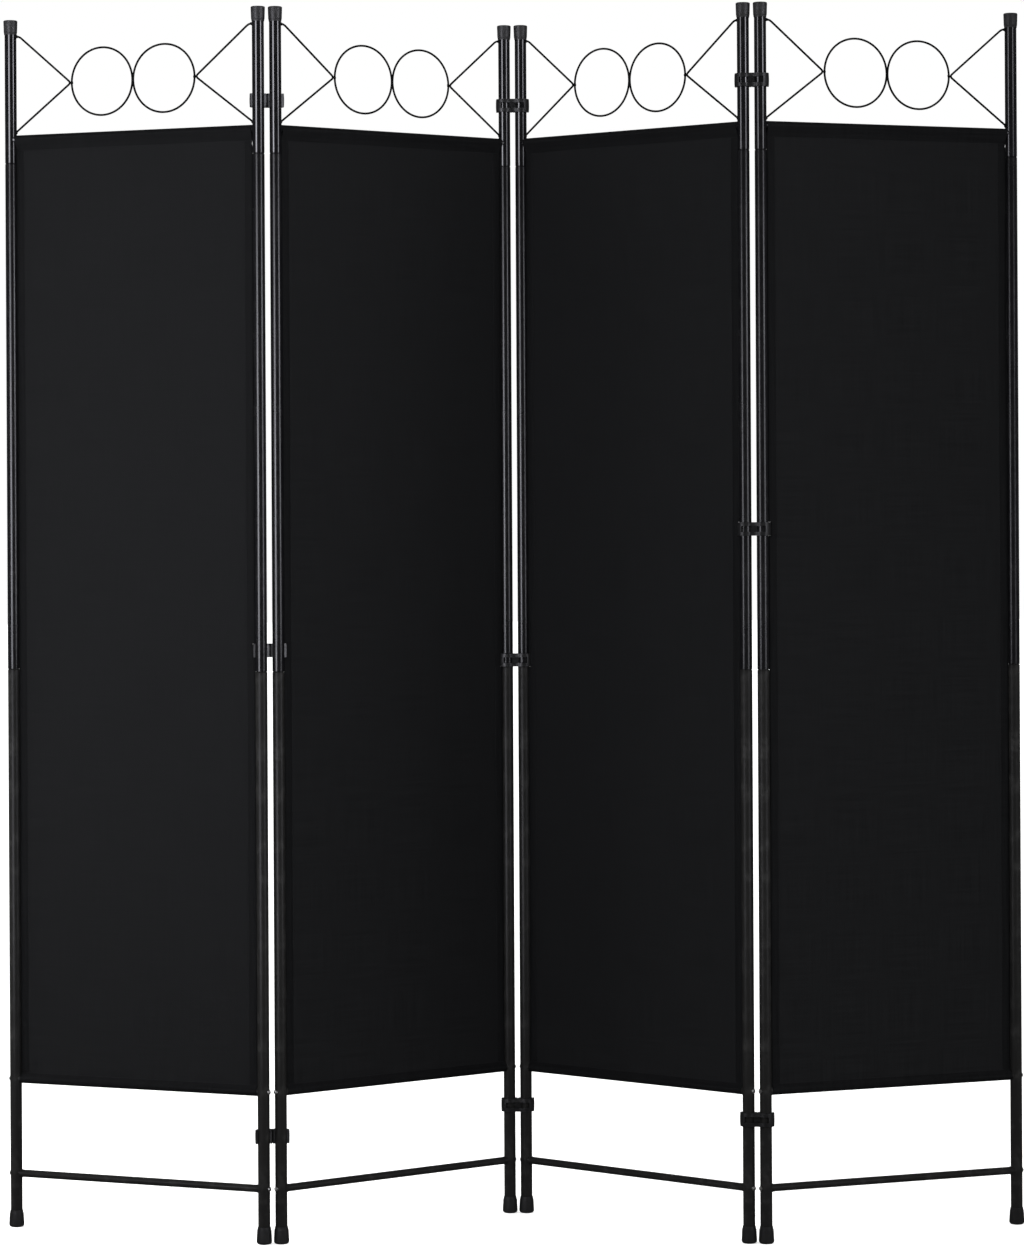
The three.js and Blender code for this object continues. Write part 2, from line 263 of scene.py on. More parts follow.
def cloth():
    """Black plain-woven polyester: crossed threads, uneven yarns, and painted shade where it is
    folded double, standing for the backlight that shines through one layer but not through two.
    """
    nodes = Nodes("black_cloth")
    dark = (0.0026, 0.0027, 0.0030)
    light = (0.0060, 0.0062, 0.0067)
    thread_pitch = 0.75 * MM
    thread_depth = 0.06 * MM
    fuzz_depth = 0.05 * MM
    slub_depth = 0.12 * MM
    hem_shade_depth = 0.45  # how far the painted shade takes a double layer's tone from light to dark
    split = nodes.add("ShaderNodeSeparateXYZ")
    nodes.link(nodes.place, split.inputs["Vector"])
    waves = [
        nodes.math("SINE", nodes.math("MULTIPLY", split.outputs[axis], math.tau / thread_pitch))
        for axis in ("X", "Z")
    ]
    weave = nodes.math("MULTIPLY", *waves)
    warp = nodes.noise(scale=90, detail=4, stretch=(6, 1, 0.12))
    weft = nodes.noise(scale=90, detail=4, stretch=(0.12, 1, 6))
    yarns = nodes.math("MULTIPLY", nodes.math("ADD", warp, weft), 0.5)
    doubled_shade = hem_shade_mask(nodes, split.outputs["X"], split.outputs["Z"])
    yarn_tone = nodes.remap(yarns, hem_shade_depth, 1, 0.38, 0.62)
    # painted shade on the hems and pockets, for the backlight that two layers keep out
    tone = nodes.math("SUBTRACT", yarn_tone, nodes.math("MULTIPLY", doubled_shade, hem_shade_depth))
    nodes.shade("Base Color", nodes.blend(tone, dark, light))
    nodes.shade("Roughness", nodes.remap(yarns, 0.52, 0.66))
    fuzz = nodes.bump(nodes.noise(scale=700, detail=3), fuzz_depth, 0.4)
    threads = nodes.bump(weave, thread_depth, 0.6, fuzz)
    nodes.shade("Normal", nodes.bump(yarns, slub_depth, 0.35, threads))
    nodes.set(Specular_IOR_Level=0.05, Sheen_Weight=0.004, Sheen_Roughness=0.5)
    return nodes.material


def thread():
    """Black polyester sewing thread with a twist."""
    dark = (0.003, 0.003, 0.0035)
    light = (0.008, 0.008, 0.009)
    twist_depth = 0.05 * MM
    nodes = Nodes("black_thread")
    twist = nodes.noise(scale=2600, detail=1)
    nodes.shade("Base Color", nodes.blend(nodes.remap(twist, 0, 1), dark, light))
    nodes.shade("Normal", nodes.bump(twist, twist_depth))
    nodes.set(Roughness=0.6, Specular_IOR_Level=0.2)
    return nodes.material


def zinc():
    """Bright zinc plating with fine pits and dull spots."""
    dull = (0.50, 0.50, 0.49)
    bright = (0.80, 0.79, 0.76)
    pit_depth = 0.02 * MM
    nodes = Nodes("bright_zinc")
    spots = nodes.noise(scale=700, detail=5)
    nodes.shade("Base Color", nodes.blend(nodes.remap(spots, 0, 1), dull, bright))
    nodes.shade("Roughness", nodes.remap(spots, 0.22, 0.42))
    nodes.shade("Normal", nodes.bump(nodes.noise(scale=3200, detail=2), pit_depth, 0.5))
    nodes.set(Metallic=1.0)
    return nodes.material


GLOSS_PAINT = paint(
    "gloss_black_paint",
    clean=(0.0025, 0.0025, 0.0032),
    dusty=(0.0075, 0.0075, 0.0080),
    rough=(0.10, 0.17),
    gloss=0.7,
)
PAINT = paint(
    "black_paint",
    clean=(0.0025, 0.0025, 0.0032),
    dusty=(0.0075, 0.0075, 0.0080),
    rough=(0.20, 0.28),
    gloss=0.55,
)
SATIN_PAINT = paint(
    "satin_black_paint",
    clean=(0.0068, 0.0067, 0.0066),
    dusty=(0.0185, 0.0183, 0.0180),
    rough=(0.34, 0.42),
    gloss=0.18,
)
WIRE_PAINT = paint(
    "wire_black_paint",
    clean=(0.0012, 0.0012, 0.0013),
    dusty=(0.0035, 0.0035, 0.0036),
    rough=(0.30, 0.40),
    gloss=0.06,
)
CAP_PLASTIC = plastic(
    "cap_plastic",
    dark=(0.0075, 0.0075, 0.0083),
    light=(0.0135, 0.0135, 0.0145),
    rough=(0.42, 0.56),
    grain=0.04 * MM,
)
# darker than the cap plastic: painted shade for the feet, which stand low by the floor where less
# light reaches
SHADED_FOOT_PLASTIC = plastic(
    "foot_plastic_painted_shade",
    dark=(0.0028, 0.0028, 0.0030),
    light=(0.0062, 0.0062, 0.0065),
    rough=(0.50, 0.62),
    grain=0.04 * MM,
)
CLIP_PLASTIC = plastic(
    "clip_plastic",
    dark=(0.0024, 0.0024, 0.0028),
    light=(0.0058, 0.0058, 0.0062),
    rough=(0.36, 0.46),
    grain=0.03 * MM,
)
CLOTH = cloth()
THREAD = thread()
ZINC = zinc()


# ---- Mesh building -------------------------------------------------------------------------------


def ramp(value, start=0, end=1):
    """0 up to start, 1 from end on and straight between them."""
    return min(max((value - start) / (end - start), 0), 1)


def smooth(value):
    """0 up to 0, 1 from 1 on and an S curve between them."""
    share = ramp(value)
    return share * share * (3 - 2 * share)


def on_circle(radius, count):
    """Points (x, y) round the origin, the first on +X."""
    return [
        (radius * math.cos(math.tau * i / count), radius * math.sin(math.tau * i / count))
        for i in range(count)
    ]


class Shell:
    """Collects the points and faces of one piece, then makes it an object."""

    def __init__(self):
        self.points = []
        self.faces = []

    def add(self, points, faces, place=None):
        start = len(self.points)
        place = place or Matrix.Identity(4)
        self.points += [place @ Vector(p) for p in points]
        self.faces += [[start + i for i in face] for face in faces]

    def loft(self, loops, place=None, closed=False):
        """Joins each loop of points, or single point, to the next one. Closed joins the last loop
        to the first, and otherwise both ends get a flat face."""
        starts = itertools.accumulate((len(loop) for loop in loops), initial=0)
        rings = [list(range(start, start + len(loop))) for start, loop in zip(starts, loops)]
        if closed:
            faces = strips(rings + rings[:1])
        else:
            ends = (rings[0][::-1], rings[-1])
            faces = strips(rings) + [end for end in ends if len(end) > 1]
        self.add([point for loop in loops for point in loop], faces, place)

    def lathe(self, profile, place=None, sides=ROUND_SIDES):
        """Turns (radius, height) points round +Z. A point on the axis closes the shell there."""
        loops = [
            [(x, y, height) for x, y in on_circle(radius, sides)] if radius > 0 else [(0, 0, height)]
            for radius, height in profile
        ]
        self.loft(loops, place, closed=profile[0][0] > 0)

    def tube(self, path, radius, sides=16):
        """A round wire along a path, with flat ends."""
        circle = [Vector((x, y, 0)) for x, y in on_circle(radius, sides)]
        self.loft([[spot + turn @ point for point in circle] for spot, turn in frames_along(path)])

    def ring(self, centre, radius, wire, around=112, sides=16):
        """A closed ring of wire in the XZ plane."""
        loops = [
            [
                centre + Vector(((radius + out) * x, side, (radius + out) * z))
                for out, side in on_circle(wire, sides)
            ]
            for x, z in on_circle(1, around)
        ]
        self.loft(loops, closed=True)

    def bead(self, centre, size, seed):
        """A lumpy drop of weld metal, size giving its half lengths."""
        rings = 12
        lumpiness = 0.28
        side = [
            (math.sin(math.pi * i / rings), -math.cos(math.pi * i / rings))
            for i in range(1, rings)
        ]
        drop = Shell()
        drop.lathe([(0, -1), *side, (0, 1)], sides=20)
        lumps = [
            p * (1 + lumpiness * noise.noise(p * 1.7 + Vector((seed * 3.1, 0, 0))))
            for p in drop.points
        ]
        self.add([centre + Vector(p[i] * size[i] for i in range(3)) for p in lumps], drop.faces)

    def make(self, name, material, place=None, sharp=32):
        """An object that is smooth but for the edges where it turns by more than sharp degrees."""
        mesh = bpy.data.meshes.new(name)
        mesh.from_pydata(self.points, [], self.faces)
        shape = bmesh.new()
        shape.from_mesh(mesh)
        bmesh.ops.recalc_face_normals(shape, faces=shape.faces)
        shape.to_mesh(mesh)
        shape.free()
        mesh.materials.append(material)
        mesh.shade_smooth()
        mesh.set_sharp_from_angle(angle=math.radians(sharp))
        piece = bpy.data.objects.new(name, mesh)
        bpy.context.scene.collection.objects.link(piece)
        piece.matrix_world = place or Matrix.Identity(4)
        return piece


def strips(rings):
    """Quads, or triangles at a single point, between one ring of point numbers and the next."""
    faces = []
    for low, high in zip(rings, rings[1:]):
        count = max(len(low), len(high))
        if count == 1:
            continue
        for i in range(count):
            j = (i + 1) % count
            below = [low[i % len(low)], low[j % len(low)]]
            above = [high[j % len(high)], high[i % len(high)]]
            faces.append(list(dict.fromkeys(below + above)))
    return faces


def frames_along(path):
    """Each point of a path with a rotation whose +Z follows it, turned as little as possible."""
    found = []
    turn = None
    for i, spot in enumerate(path):
        ahead = (path[min(i + 1, len(path) - 1)] - path[max(i - 1, 0)]).normalized()
        if turn is None:
            turn = ahead.to_track_quat("Z", "Y").to_matrix()
        else:
            turn = (turn @ Vector((0, 0, 1))).rotation_difference(ahead).to_matrix() @ turn
        found.append((spot, turn))
    return found


def rounded(corners, radius, steps=8):
    """The path through corners with each inner corner rounded."""
    path = [corners[0]]
    for before, corner, after in zip(corners, corners[1:], corners[2:]):
        back = before - corner
        on = after - corner
        start = corner + back.normalized() * min(radius, back.length / 2)
        end = corner + on.normalized() * min(radius, on.length / 2)
        for i in range(steps + 1):
            t = i / steps
            path.append(start * (1 - t) ** 2 + corner * 2 * t * (1 - t) + end * t ** 2)
    return path + [corners[-1]]


def arc(centre, radius, start, end, steps):
    """Points (radius, height) round a corner of a turned profile, angles in degrees."""
    return [
        (
            centre[0] + radius * math.cos(math.radians(start + (end - start) * i / steps)),
            centre[1] + radius * math.sin(math.radians(start + (end - start) * i / steps)),
        )
        for i in range(steps + 1)
    ]


def dress(piece, body, slot, *nodes):
    """The piece rides on a body and stands for the named CAD nodes, which it hides. The slot is not
    used.
    """
    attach(piece, body)
    if nodes:
        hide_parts(*nodes)
    return piece


# ---- Poles ---------------------------------------------------------------------------------------


def tube_profile(low, joint=None, top=None):
    """A pole tube with rolled edges: necked above joint, or straight up to top."""
    edge = 0.35 * MM
    ease_height = 0.3 * MM
    ease_depth = 0.12 * MM
    bore = POLE_RADIUS - POLE_WALL
    start = [(bore, low), *arc((POLE_RADIUS - edge, low + edge), edge, -90, 0, 4)]
    if joint is None:
        return start + [(POLE_RADIUS, top), (bore, top)]
    neck = joint + SHOULDER
    end = joint + SPIGOT_LENGTH
    return start + [
        (POLE_RADIUS, joint - ease_height),
        (POLE_RADIUS - ease_depth, joint),
        (SPIGOT_RADIUS, neck),
        (SPIGOT_RADIUS, end),
        (SPIGOT_RADIUS - POLE_WALL, end),
        (SPIGOT_RADIUS - POLE_WALL, joint),
        (bore, joint - SHOULDER),
    ]


def make_tube(panel, side, part, low, joint, finish):
    shell = Shell()
    shell.lathe(tube_profile(low, joint))
    node = f"panel_{panel}_{side}_{part}_tube"
    piece = shell.make(f"{node}_skin", finish, Matrix.Translation(pole_axis(panel, side)))
    dress(piece, f"panel_{panel}", "black_paint", node)


def make_cap(panel, side):
    """A moulded cap pushed over the top of a pole, with a crowned top and a tapered lip."""
    top_radius = 10.4 * MM
    low_radius = 9.9 * MM
    lip_radius = 9.2 * MM
    lip = 4 * MM
    lip_corner = 1.2 * MM
    corner = 1.5 * MM
    crown = 0.5 * MM
    top_thickness = 3 * MM
    bore = POLE_RADIUS + PUSH_FIT
    roof = CAP_TOP_Z - top_thickness
    shell = Shell()
    shell.lathe([
        (0, roof),
        (bore, roof),
        (bore, CAP_LOW_Z),
        (lip_radius, CAP_LOW_Z),
        *arc((low_radius - lip_corner, CAP_LOW_Z + lip), lip_corner, -35, 0, 4),
        *arc((top_radius - corner, CAP_TOP_Z - crown - corner), corner, 0, 80, 6),
        (top_radius * 0.55, CAP_TOP_Z - crown * 0.3),
        (0, CAP_TOP_Z),
    ])
    node = f"panel_{panel}_{side}_cap"
    piece = shell.make(f"{node}_skin", CAP_PLASTIC, Matrix.Translation(pole_axis(panel, side)))
    dress(piece, f"panel_{panel}", "cap_plastic", node)


def make_foot(panel, side):
    """A moulded foot: a cup that widens to a rounded sole with a flat tread."""
    lip_radius = 9.3 * MM
    neck_radius = 10.4 * MM
    low_radius = 11.3 * MM
    tread_radius = 7.3 * MM
    lip = 5 * MM
    lip_edge = 0.2 * MM
    neck_corner = 1 * MM
    taper = 0.1 * MM
    sole_corner = 4.1 * MM
    sole_corner_z = 4.2 * MM
    sole = 4 * MM
    bore = POLE_RADIUS + PUSH_FIT
    shell = Shell()
    shell.lathe([
        (0, 0),
        (tread_radius, 0),
        *arc((low_radius - sole_corner, sole_corner_z), sole_corner, -80, 0, 8),
        (neck_radius + taper, FOOT_TOP_Z - lip - neck_corner),
        *arc((neck_radius - neck_corner, FOOT_TOP_Z - lip), neck_corner, 10, 50, 3),
        (lip_radius, FOOT_TOP_Z - lip_edge),
        (lip_radius - lip_edge, FOOT_TOP_Z),
        (bore, FOOT_TOP_Z),
        (bore, sole),
        (0, sole),
    ])
    node = f"panel_{panel}_{side}_foot"
    piece = shell.make(f"{node}_skin", SHADED_FOOT_PLASTIC, Matrix.Translation(pole_axis(panel, side)))
    dress(piece, f"panel_{panel}", "cap_plastic", node)


# ---- Top frame -----------------------------------------------------------------------------------


def side_wire(shell, pole_x, inward):
    """The V wire between a pole and the ring beside it, with its welds."""
    in_wall = POLE_RADIUS - POLE_WALL / 2
    upper_weld = POLE_RADIUS + 1.2 * MM
    lower_weld = POLE_RADIUS + 0.6 * MM
    apex = SPACING / 2 - 2 * RING_RADIUS - 1.5 * WIRE_RADIUS

    def at(distance, height):
        return Vector((pole_x + inward * distance, 0, height))

    corners = [
        at(in_wall, UPPER_WELD_Z),
        at(POLE_RADIUS + WELD_KINK, UPPER_WELD_Z),
        at(apex, ORNAMENT_Z),
        at(in_wall, LOWER_WELD_Z),
    ]
    shell.tube(rounded(corners, WIRE_BEND), WIRE_RADIUS)
    seed = pole_x * 40 + 1
    shell.bead(at(upper_weld, UPPER_WELD_Z), UPPER_WELD, seed)
    shell.bead(at(lower_weld, LOWER_WELD_Z), LOWER_WELD, seed + 1)
    shell.bead(at(apex + WIRE_RADIUS, ORNAMENT_Z), APEX_WELD, seed + 2)


def coped_bar(shell, height):
    """A round bar across the panel whose flared ends follow the poles' round sides."""
    sides = 36
    steps = 6
    overlap = 0.05 * MM
    shares = [(step / steps) ** 2 for step in range(steps + 1)]
    rows = [(0, 1, share) for share in shares]
    rows += [(SPACING, -1, share) for share in reversed(shares)]
    loops = []
    for pole_x, inward, share in rows:
        loop = []
        for y, z in on_circle(BAR_RADIUS + BAR_FLARE * (1 - share) ** 2, sides):
            seat = math.sqrt((POLE_RADIUS - overlap) ** 2 - y ** 2)
            x = seat + (POLE_RADIUS + BAR_FLARE_LENGTH - seat) * share
            loop.append((pole_x + inward * x, y, height + z))
        loops.append(loop)
    shell.loft(loops)


def make_top_frame(panel, place):
    """Two pole stubs, the rail, two V wires and two rings, all welded together."""
    shell = Shell()
    for pole_x in (0, SPACING):
        shell.lathe(tube_profile(HIGH_JOINT_Z, top=STUB_TOP_Z), Matrix.Translation((pole_x, 0, 0)))
    coped_bar(shell, RAIL_Z)
    first_wire_face = len(shell.faces)
    side_wire(shell, 0, 1)
    side_wire(shell, SPACING, -1)
    middle = Vector((SPACING / 2, 0, ORNAMENT_Z))
    offset = Vector((RING_RADIUS + WIRE_RADIUS / 2, 0, 0))
    shell.ring(middle - offset, RING_RADIUS, WIRE_RADIUS)
    shell.ring(middle + offset, RING_RADIUS, WIRE_RADIUS)
    shell.bead(middle, RING_WELD, panel)
    node = f"panel_{panel}_top_frame"
    piece = shell.make(f"{node}_skin", GLOSS_PAINT, place)
    piece.data.materials.append(WIRE_PAINT)
    for face in piece.data.polygons[first_wire_face:]:
        face.material_index = 1
    dress(piece, f"panel_{panel}", "black_paint", node)


def make_bar(panel, place, part, height):
    shell = Shell()
    coped_bar(shell, height)
    node = f"panel_{panel}_{part}"
    dress(shell.make(f"{node}_skin", SATIN_PAINT, place), f"panel_{panel}", "black_paint", node)


# ---- Screws --------------------------------------------------------------------------------------


def screw_head():
    """A pan head with a cross recess, its seat at z = 0 and the recess facing +Z."""
    rings = 26
    sides = 64
    arm = (0.434 * MM, 0.744 * MM)  # half the recess's width at its floor and at its rim
    reach = (1.6 * MM, 2.1 * MM)  # from the middle to the ends of the arms, floor and rim
    depth = 1.2 * MM
    loops = [[(0, 0, SCREW_HEIGHT - depth)]]
    for ring in range(1, rings + 1):
        radius = SCREW_RADIUS * ring / rings
        dome = SCREW_HEIGHT * (1 - (ring / rings) ** 4) ** 0.5
        loop = []
        for x, y in on_circle(radius, sides):
            cut = (1 - ramp(min(abs(x), abs(y)), *arm)) * (1 - ramp(radius, *reach))
            loop.append((x, y, dome - depth * cut))
        loops.append(loop)
    loops.append([(x, y, -SCREW_SKIRT) for x, y in on_circle(SCREW_RADIUS, sides)])
    shell = Shell()
    shell.loft(loops)
    return shell


def make_screws(panel, place):
    """One screw into each end of the hem bar and the crossbar, driven from outside the pole."""
    head = screw_head()
    dice = random.Random(panel)
    for part, height in (("hem_bar", HEM_BAR_Z), ("crossbar", CROSSBAR_Z)):
        for side, pole_x, outward in (("left", 0, -1), ("right", SPACING, 1)):
            seat = Matrix.Translation((pole_x + outward * (POLE_RADIUS - SCREW_SUNK), 0, height))
            facing = Matrix.Rotation(outward * math.pi / 2, 4, "Y")
            driven = Matrix.Rotation(dice.uniform(0, math.pi / 2), 4, "Z")
            name = f"panel_{panel}_{side}_{part}_screw"
            piece = head.make(name, ZINC, place @ seat @ facing @ driven)
            dress(piece, f"panel_{panel}", "zinc")


# ---- Fabric --------------------------------------------------------------------------------------


class Cloth:
    """The shape of one panel's cloth: where its edges run and how its face undulates."""

    # Each kind of ripple as (size, length).
    EDGE_WAVE = (0.3 * MM, 45 * MM)
    EDGE_CRIMP = (0.2 * MM, 14 * MM)
    SLACK = (1.1 * MM, 130 * MM)
    CREASE = (0.35 * MM, 40 * MM)
    SLACK_DRAWN = 0.35  # less than 1, because these two are longer up the panel than across it
    CREASE_DRAWN = 0.5
    SEAM_PUCKER = (0.55 * MM, 9 * MM)
    SIDE_PUCKER = (0.45 * MM, 11 * MM)

    EDGE_OVERRUN = 0.2 * MM  # how far past its straight line the edge may come
    CALM = 12 * MM  # the ripples grow to full size over this distance from a seam
    SEAM_REACH = 22 * MM  # how far the puckers spread from the pocket seams
    SIDE_REACH = 14 * MM  # and from the side edges
    GROOVE_DEPTH = 0.3 * MM  # where the stitching pulls the side hem in
    GROOVE_WIDTH = 1 * MM
    PUFF = 0.8 * MM  # how far a side hem swells forward

    def __init__(self, panel):
        self.seed = 17.3 * panel
        self.loose_corner = panel in (PANELS[0], PANELS[-1])
        self.clip_heights = {"left": None, "right": None}
        for link, (before, after) in LINKS.items():
            height = middle_of(f"clip_{link}_middle").z
            if panel == after:
                self.clip_heights["left"] = height
            if panel == before:
                self.clip_heights["right"] = height

    def ripple(self, kind, along, across):
        """Smooth random waves. Across can be a place on the cloth, or pick a line of the noise."""
        size, length = kind
        return size * noise.noise(Vector((along / length, across / length, self.seed)))

    def between_seams(self, z):
        """0 in the pockets and at the seams, 1 a little way from them."""
        return smooth(min(z - BOTTOM_SEAM_Z, TOP_SEAM_Z - z) / self.CALM)

    def edge(self, side, z):
        """How far the hemmed edge is from the pole's axis, away from the clips."""
        shift = 3.7 if side == "left" else 9.1
        wave = self.ripple(self.EDGE_WAVE, z, shift) + self.ripple(self.EDGE_CRIMP, z, shift + 3)
        edge = POLE_RADIUS + SIDE_GAP + self.between_seams(z) * max(wave, -self.EDGE_OVERRUN)
        if side == "right" and self.loose_corner:
            edge += LOOSE_GAP * math.exp(-((TOP_SEAM_Z - LOOSE_DROP - z) / LOOSE_REACH) ** 2)
        return edge

    def inset(self, side, z):
        """How far the cloth is from the pole's axis: tucked back where a clip holds the pole."""
        edge = self.edge(side, z)
        height = self.clip_heights[side]
        if height is None:
            return edge
        notch_end = CLIP_HEIGHT / 2 + NOTCH_CLEARANCE + NOTCH_CORNER
        tuck = smooth((notch_end - abs(z - height)) / NOTCH_CORNER)
        return max(edge, edge + (CLIP_REACH - edge) * tuck)

    def rows(self):
        """Heights up the face, closer together at the seams and at the clips."""
        near = [distance * MM for distance in (0, 1.5, 4, 8, 14, 22, 32)]
        low = BOTTOM_SEAM_Z + near[-1]
        high = TOP_SEAM_Z - near[-1]
        count = 190
        rows = [low + (high - low) * i / count for i in range(1, count)]
        rows += [BOTTOM_SEAM_Z + distance for distance in near]
        rows += [TOP_SEAM_Z - distance for distance in near]
        for height in self.clip_heights.values():
            if height is not None:
                for share in (-0.4, 0, 0.25, 0.5, 0.75, 1, 1.4):
                    away = CLIP_HEIGHT / 2 + NOTCH_CLEARANCE + share * NOTCH_CORNER
                    rows += [height - away, height + away]
        return sorted(rows)

    def x_at(self, across, z):
        left = self.inset("left", z)
        right = SPACING - self.inset("right", z)
        return left + across * (right - left)

    def y_at(self, x, z):
        """The face's depth: soft slack, puckers along the seams and a groove at each side seam."""
        from_edge = min(x, SPACING - x) - POLE_RADIUS - SIDE_GAP
        from_seam = max(min(z - BOTTOM_SEAM_Z, TOP_SEAM_Z - z), 0)
        depth = self.ripple(self.SLACK, x, z * self.SLACK_DRAWN)
        depth += self.ripple(self.CREASE, x, z * self.CREASE_DRAWN)
        pucker = self.ripple(self.SEAM_PUCKER, x, 2)
        depth += pucker * math.exp(-from_seam / self.SEAM_REACH)
        pucker = self.ripple(self.SIDE_PUCKER, z, 5 if x <= SPACING / 2 else 6)
        depth += pucker * math.exp(-from_edge / self.SIDE_REACH)
        across_groove = (from_edge - SIDE_HEM) / self.GROOVE_WIDTH
        depth += self.GROOVE_DEPTH * math.exp(-across_groove ** 2)
        depth -= self.PUFF * math.sin(math.pi * ramp(from_edge / SIDE_HEM) ** 0.7)
        return self.between_seams(z) * depth


def section(cloth):
    """(y, z) along the cloth: round the bottom pocket, up the face and round the top pocket."""
    steps = 26
    path = []
    for bar_z, seam_z in ((HEM_BAR_Z, BOTTOM_SEAM_Z), (RAIL_Z, TOP_SEAM_Z)):
        spread = math.acos(POCKET_RADIUS / abs(seam_z - bar_z))
        towards = math.copysign(math.pi / 2, seam_z - bar_z)
        start = towards - math.copysign(spread, towards)
        sweep = math.copysign(math.tau - 2 * spread, towards)
        loop = [
            (
                POCKET_RADIUS * math.cos(start - sweep * i / steps),
                bar_z + POCKET_RADIUS * math.sin(start - sweep * i / steps),
            )
            for i in range(steps + 1)
        ]
        loop = [(LAYER_OFFSET, seam_z), *loop]
        path.append(loop if seam_z > bar_z else loop[::-1])
    return path[0] + [(0, z) for z in cloth.rows()] + path[1]


def columns():
    """Shares across the cloth, closer together at the side hems, whose seams are at 0.0336."""
    near = [0, 0.0035, 0.010, 0.020, 0.028, 0.0315, 0.0336, 0.0358, 0.040, 0.050]
    count = 46
    inner = [near[-1] + (1 - 2 * near[-1]) * i / count for i in range(1, count)]
    return near + inner + [1 - c for c in reversed(near)]


def grid_faces(rows, across):
    return [
        (r * across + c, r * across + c + 1, (r + 1) * across + c + 1, (r + 1) * across + c)
        for r in range(rows - 1)
        for c in range(across - 1)
    ]


def thicken(piece, thickness):
    modifier = piece.modifiers.new("cloth_thickness", "SOLIDIFY")
    modifier.thickness = thickness
    modifier.offset = 0


def side_hems(cloth, name, place):
    """The strip folded to the back of each side edge."""
    past_stitching = 1.2 * MM
    shell = Shell()
    rows = cloth.rows()
    shares = [0.0, 0.25, 0.6, 0.85, 1.0]
    for side in ("left", "right"):
        points = []
        for z in rows:
            start = cloth.inset(side, z)
            end = cloth.edge(side, z) + SIDE_HEM + past_stitching
            for share in shares:
                x = start + share * (end - start)
                x = x if side == "left" else SPACING - x
                points.append((x, cloth.y_at(x, z) + LAYER_OFFSET, z))
        shell.add(points, grid_faces(len(rows), len(shares)))
    piece = shell.make(name, CLOTH, place, sharp=80)
    thicken(piece, CLOTH_THICKNESS)
    return piece


def add_stitch(shell, spot, along, length, radius):
    """One stitch: a slim pointed grain of thread."""
    out = Vector((0, 1, 0))
    side = along.cross(out)
    points = [spot - along * length / 2, spot + along * length / 2]
    for share in (-0.25, 0.25):
        for across, up in ((1, 0), (0, 1), (-1, 0), (0, -1)):
            points.append(spot + along * length * share + (side * across + out * up) * radius)
    faces = [(0, 3, 2), (0, 4, 3), (0, 5, 4), (0, 2, 5)]
    faces += [(2, 3, 7, 6), (3, 4, 8, 7), (4, 5, 9, 8), (5, 2, 6, 9)]
    faces += [(1, 6, 7), (1, 7, 8), (1, 8, 9), (1, 9, 6)]
    shell.add(points, faces)


def stitching(cloth, name, place):
    """Lockstitch along the side hems and the pocket seams, on the face and on the back."""
    pitch = 3.6 * MM
    length = 2.9 * MM
    radius = 0.2 * MM
    off_seam = 0.6 * MM
    proud = CLOTH_THICKNESS * 0.55
    spots = []
    for step in range(int((TOP_SEAM_Z - BOTTOM_SEAM_Z) / pitch)):
        z = BOTTOM_SEAM_Z + pitch * (step + 0.5)
        for side in ("left", "right"):
            x = cloth.edge(side, z) + SIDE_HEM
            x = x if side == "left" else SPACING - x
            spots.append((x, z, Vector((0, 0, 1))))
    inset = POLE_RADIUS + SIDE_GAP
    for step in range(int((SPACING - 2 * inset) / pitch)):
        x = inset + pitch * (step + 0.5)
        spots.append((x, TOP_SEAM_Z - off_seam, Vector((1, 0, 0))))
        spots.append((x, BOTTOM_SEAM_Z + off_seam, Vector((1, 0, 0))))
    shell = Shell()
    for x, z, along in spots:
        for depth in (-proud, LAYER_OFFSET + proud):
            spot = Vector((x, cloth.y_at(x, z) + depth, z))
            add_stitch(shell, spot, along, length, radius)
    return shell.make(name, THREAD, place, sharp=60)


def make_fabric(panel, place):
    """The cloth with its two pockets, the folded side hems and the stitching."""
    cloth = Cloth(panel)
    rows = section(cloth)
    across = columns()
    points = []
    for y, z in rows:
        for share in across:
            x = cloth.x_at(share, z)
            points.append((x, y + cloth.y_at(x, z), z))
    shell = Shell()
    shell.add(points, grid_faces(len(rows), len(across)))
    node = f"panel_{panel}_fabric"
    body = f"panel_{panel}"
    sheet = shell.make(f"{node}_sheet", CLOTH, place, sharp=80)
    thicken(sheet, CLOTH_THICKNESS)
    dress(sheet, body, "fabric", node)
    hems = dress(side_hems(cloth, f"{node}_side_hems", place), body, "fabric")
    seams = dress(stitching(cloth, f"{node}_stitching", place), body, "fabric")


# ---- Clips ---------------------------------------------------------------------------------------


def block(low, high):
    """A closed box as a shell."""
    corners = list(itertools.product(*zip(low, high)))
    faces = [(0, 1, 3, 2), (4, 6, 7, 5), (0, 4, 5, 1), (2, 3, 7, 6), (0, 2, 6, 4), (1, 5, 7, 3)]
    shell = Shell()
    shell.add(corners, faces)
    return shell


def barrel(x, radius, half_height, bulge=0.0):
    """An upright cylinder, a little fuller at half height when bulge is given, as a shell."""
    steps = 12
    side = []
    for i in range(steps + 1):
        share = 2 * i / steps - 1
        side.append((radius + bulge * (1 - share ** 2), share * half_height))
    place = Matrix.Translation((x, 0, 0))
    shell = Shell()
    shell.lathe([(0, -half_height), *side, (0, half_height)], place, sides=96)
    return shell


def wedge(x):
    """The open mouth in front of one pole."""
    out = 2 * CLIP_OUTER
    spread = out * math.tan(CLIP_MOUTH / 2)
    shell = Shell()
    corners = [(x, 0), (x - spread, -out), (x + spread, -out)]
    points = [(px, py, z) for z in (-CLIP_HEIGHT, CLIP_HEIGHT) for px, py in corners]
    shell.add(points, [(0, 2, 1), (3, 4, 5), (0, 1, 4, 3), (1, 2, 5, 4), (2, 0, 3, 5)])
    return shell


